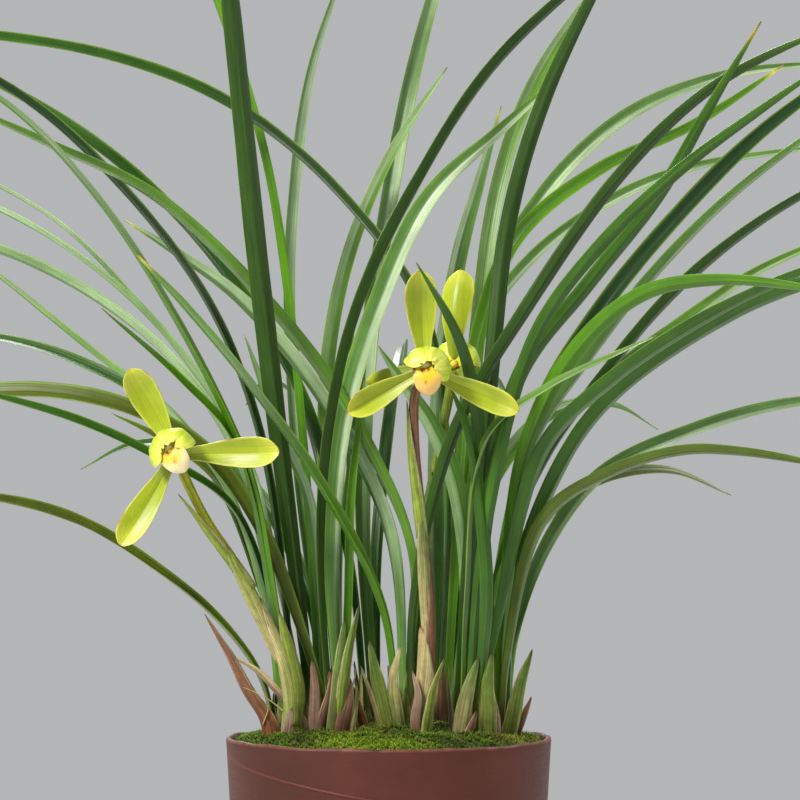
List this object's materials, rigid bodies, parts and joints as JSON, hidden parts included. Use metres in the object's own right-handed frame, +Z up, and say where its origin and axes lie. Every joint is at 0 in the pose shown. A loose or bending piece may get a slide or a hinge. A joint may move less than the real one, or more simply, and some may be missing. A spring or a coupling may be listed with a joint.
{
  "type": "potted orchid",
  "caption": "Spring orchid growing in a tall round pot: a dense clump of narrow arching leaves with yellow-green flowers on slender stems above a mossy mix; a live plant to stand on a shelf.",
  "frame": {"origin": "centre of the pot's underside, on the surface that it stands on", "axes": "+Z up along the pot's axis; -Y towards the side that the front flowers face; +X to the right of someone who looks at them"},
  "size_m": [0.4202, 0.2606, 0.5121],
  "materials": {
    "pot": "satin",
    "potting_mix": "matte",
    "moss": "matte",
    "bulb": "satin",
    "leaf": "satin",
    "scape": "satin",
    "sepal": "satin",
    "petal": "satin",
    "lip": "satin",
    "column": "satin"
  },
  "bodies": {
    "root": {"pot": "pot", "potting_mix": "potting_mix", "moss": "moss", "rhizome": "bulb", "leaf_a_long": "leaf", "leaf_a_inner": "leaf", "leaf_a_middle": "leaf", "leaf_a_low": "leaf", "leaf_b_tall": "leaf", "leaf_b_bright": "leaf", "leaf_b_outer": "leaf", "leaf_c_low": "leaf", "leaf_c_arch": "leaf", "leaf_c_broad": "leaf", "leaf_d_left": "leaf", "leaf_d_right": "leaf", "leaf_e_back": "leaf", "leaf_e_front": "leaf", "leaf_e_right": "leaf", "leaf_f_left": "leaf", "leaf_f_back": "leaf", "leaf_f_right": "leaf", "leaf_g_upright": "leaf", "leaf_g_steep": "leaf", "leaf_g_front": "leaf", "leaf_g_short": "leaf", "leaf_h_long": "leaf", "leaf_h_arch": "leaf", "leaf_h_thin": "leaf", "leaf_h_broad": "leaf", "leaf_h_low": "leaf", "leaf_i_left": "leaf", "leaf_i_right": "leaf", "leaf_j_left": "leaf", "leaf_j_upright": "leaf", "leaf_j_right": "leaf", "scape_left": "scape", "scape_centre": "scape", "scape_back": "scape", "flower_left_dorsal_sepal": "sepal", "flower_left_lateral_sepal_left": "sepal", "flower_left_lateral_sepal_right": "sepal", "flower_left_petal_left": "petal", "flower_left_petal_right": "petal", "flower_left_lip": "lip", "flower_left_column": "column", "flower_centre_dorsal_sepal": "sepal", "flower_centre_lateral_sepal_left": "sepal", "flower_centre_lateral_sepal_right": "sepal", "flower_centre_petal_left": "petal", "flower_centre_petal_right": "petal", "flower_centre_lip": "lip", "flower_centre_column": "column", "flower_back_dorsal_sepal": "sepal", "flower_back_lateral_sepal_left": "sepal", "flower_back_lateral_sepal_right": "sepal", "flower_back_petal_left": "petal", "flower_back_petal_right": "petal", "flower_back_lip": "lip", "flower_back_column": "column"}
  },
  "joints": []
}
